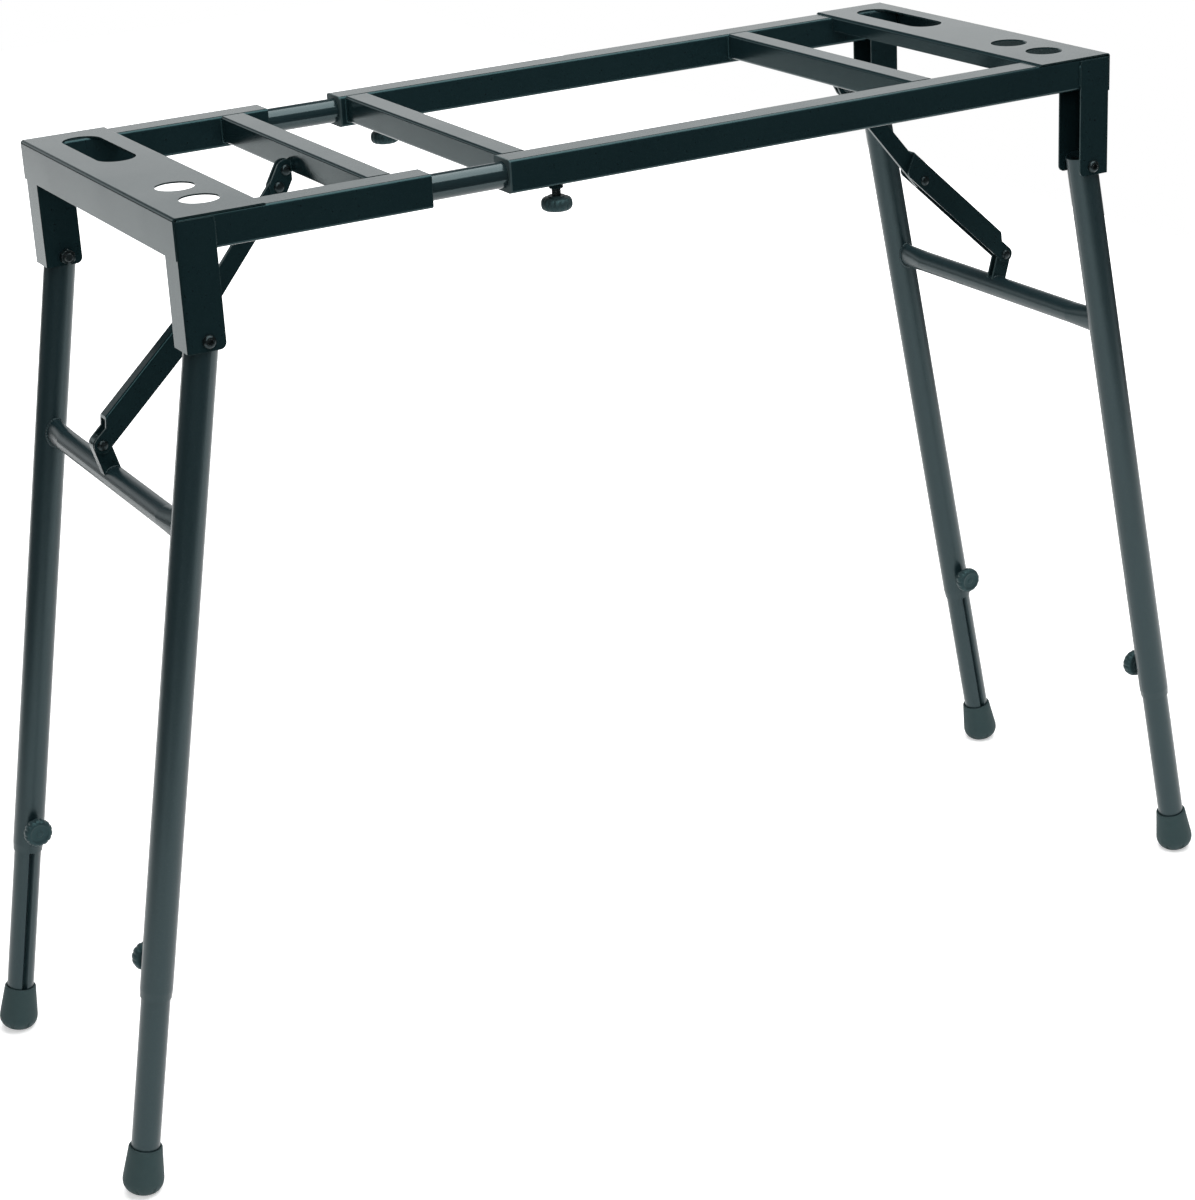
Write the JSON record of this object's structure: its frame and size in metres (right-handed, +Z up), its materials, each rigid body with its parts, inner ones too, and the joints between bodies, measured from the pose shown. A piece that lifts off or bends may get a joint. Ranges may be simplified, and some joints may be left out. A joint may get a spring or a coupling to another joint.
{
  "type": "keyboard stand",
  "caption": "Black steel folding keyboard stand: a telescoping rectangular top frame on braced folding legs with sliding, clamped height adjustment.",
  "frame": {"origin": "on the floor, under the middle of the frame at the width and height shown", "axes": "+X along the length towards the main section's end, +Y from front to back, +Z up"},
  "size_m": [1.2536, 0.397, 0.902],
  "materials": {
    "frame_black": "satin",
    "tube_black": "satin",
    "hardware": "gloss",
    "knob_plastic": "matte",
    "bush_plastic": "matte",
    "rubber": "matte"
  },
  "bodies": {
    "main_section": {"main_rail_front": "frame_black", "main_rail_back": "frame_black", "main_crossmember_inner": "frame_black", "main_crossmember_outer": "frame_black", "right_end_plate": "frame_black", "right_bracket_front": "frame_black", "right_bracket_back": "frame_black", "right_pivot_bolts": "hardware", "right_brace_clevis": "frame_black", "right_clevis_rivets": "hardware", "rail_bushes": "bush_plastic", "clamp_bosses": "frame_black"},
    "left_section": {"left_rail_front": "frame_black", "left_rail_back": "frame_black", "left_crossmember": "frame_black", "left_end_plate": "frame_black", "left_bracket_front": "frame_black", "left_bracket_back": "frame_black", "left_pivot_bolts": "hardware", "left_brace_clevis": "frame_black", "left_clevis_rivets": "hardware", "slide_tube_front": "tube_black", "slide_tube_back": "tube_black", "tube_sockets": "bush_plastic"},
    "right_leg_frame": {"right_leg_tube_front": "frame_black", "right_leg_tube_back": "frame_black", "right_crossbar": "frame_black", "right_brace_tab": "frame_black", "right_leg_bosses": "frame_black"},
    "right_inner_leg_front": {"right_inner_leg_front": "tube_black", "right_foot_front": "rubber"},
    "right_leg_knob_front": {"right_leg_knob_front": "knob_plastic", "right_leg_screw_front": "hardware"},
    "right_inner_leg_back": {"right_inner_leg_back": "tube_black", "right_foot_back": "rubber"},
    "right_leg_knob_back": {"right_leg_knob_back": "knob_plastic", "right_leg_screw_back": "hardware"},
    "right_brace_bar": {"right_brace_bar": "frame_black"},
    "right_brace_channel": {"right_brace_channel": "frame_black", "right_brace_rivets": "hardware"},
    "left_leg_frame": {"left_leg_tube_front": "frame_black", "left_leg_tube_back": "frame_black", "left_crossbar": "frame_black", "left_brace_tab": "frame_black", "left_leg_bosses": "frame_black"},
    "left_inner_leg_front": {"left_inner_leg_front": "tube_black", "left_foot_front": "rubber"},
    "left_leg_knob_front": {"left_leg_knob_front": "knob_plastic", "left_leg_screw_front": "hardware"},
    "left_inner_leg_back": {"left_inner_leg_back": "tube_black", "left_foot_back": "rubber"},
    "left_leg_knob_back": {"left_leg_knob_back": "knob_plastic", "left_leg_screw_back": "hardware"},
    "left_brace_bar": {"left_brace_bar": "frame_black"},
    "left_brace_channel": {"left_brace_channel": "frame_black", "left_brace_rivets": "hardware"},
    "clamp_knob_front": {"clamp_knob_front": "knob_plastic", "clamp_screw_front": "hardware"},
    "clamp_knob_back": {"clamp_knob_back": "knob_plastic", "clamp_screw_back": "hardware"}
  },
  "joints": [
    {"name": "width_slide", "type": "slide", "parent": "main_section", "child": "left_section", "axis": [-1, 0, 0], "range_m": [-0.072, 0.1]},
    {"name": "right_leg_fold", "type": "hinge", "parent": "main_section", "child": "right_leg_frame", "pos_m": [0.4671, 0, 0.7934], "axis": [0, 1, 0], "range_deg": [0, 90]},
    {"name": "right_front_leg_slide", "type": "slide", "parent": "right_leg_frame", "child": "right_inner_leg_front", "axis": [-0.1774, 0, 0.9841], "range_m": [-0.135, 0.145]},
    {"name": "right_front_knob_turn", "type": "hinge", "parent": "right_leg_frame", "child": "right_leg_knob_front", "pos_m": [0.57016, -0.158, 0.22161], "axis": [0, 1, 0], "range_deg": [0, 540]},
    {"name": "right_back_leg_slide", "type": "slide", "parent": "right_leg_frame", "child": "right_inner_leg_back", "axis": [-0.1774, 0, 0.9841], "range_m": [-0.135, 0.145]},
    {"name": "right_back_knob_turn", "type": "hinge", "parent": "right_leg_frame", "child": "right_leg_knob_back", "pos_m": [0.57016, 0.158, 0.22161], "axis": [0, -1, 0], "range_deg": [0, 540]},
    {"name": "right_brace_fold", "type": "hinge", "parent": "main_section", "child": "right_brace_bar", "pos_m": [0.3116, 0.00415, 0.864], "axis": [0, -1, 0], "range_deg": [0, 36.65]},
    {"name": "right_knee_fold", "type": "hinge", "parent": "right_brace_bar", "child": "right_brace_channel", "pos_m": [0.403, 0.00415, 0.754], "axis": [0, 1, 0], "range_deg": [0, 141.06]},
    {"name": "left_leg_fold", "type": "hinge", "parent": "left_section", "child": "left_leg_frame", "pos_m": [-0.4671, 0, 0.7934], "axis": [0, -1, 0], "range_deg": [0, 100]},
    {"name": "left_front_leg_slide", "type": "slide", "parent": "left_leg_frame", "child": "left_inner_leg_front", "axis": [0.1774, 0, 0.9841], "range_m": [-0.135, 0.145]},
    {"name": "left_front_knob_turn", "type": "hinge", "parent": "left_leg_frame", "child": "left_leg_knob_front", "pos_m": [-0.57016, -0.158, 0.22161], "axis": [0, 1, 0], "range_deg": [0, 540]},
    {"name": "left_back_leg_slide", "type": "slide", "parent": "left_leg_frame", "child": "left_inner_leg_back", "axis": [0.1774, 0, 0.9841], "range_m": [-0.135, 0.145]},
    {"name": "left_back_knob_turn", "type": "hinge", "parent": "left_leg_frame", "child": "left_leg_knob_back", "pos_m": [-0.57016, 0.158, 0.22161], "axis": [0, -1, 0], "range_deg": [0, 540]},
    {"name": "left_brace_fold", "type": "hinge", "parent": "left_section", "child": "left_brace_bar", "pos_m": [-0.3116, 0.00415, 0.864], "axis": [0, 1, 0], "range_deg": [0, 41.41]},
    {"name": "left_knee_fold", "type": "hinge", "parent": "left_brace_bar", "child": "left_brace_channel", "pos_m": [-0.403, 0.00415, 0.754], "axis": [0, -1, 0], "range_deg": [0, 151.67]},
    {"name": "front_clamp_turn", "type": "hinge", "parent": "main_section", "child": "clamp_knob_front", "pos_m": [-0.121, -0.1775, 0.8585], "axis": [0, 0, -1], "range_deg": [0, 540]},
    {"name": "back_clamp_turn", "type": "hinge", "parent": "main_section", "child": "clamp_knob_back", "pos_m": [-0.121, 0.1775, 0.8585], "axis": [0, 0, -1], "range_deg": [0, 540]}
  ],
  "couplings": [
    {"joint": "right_brace_fold", "follows": "right_leg_fold", "ratio": 0.40667},
    {"joint": "right_knee_fold", "follows": "right_leg_fold", "ratio": 1.5668},
    {"joint": "left_brace_fold", "follows": "left_leg_fold", "ratio": 0.41359},
    {"joint": "left_knee_fold", "follows": "left_leg_fold", "ratio": 1.5162}
  ]
}
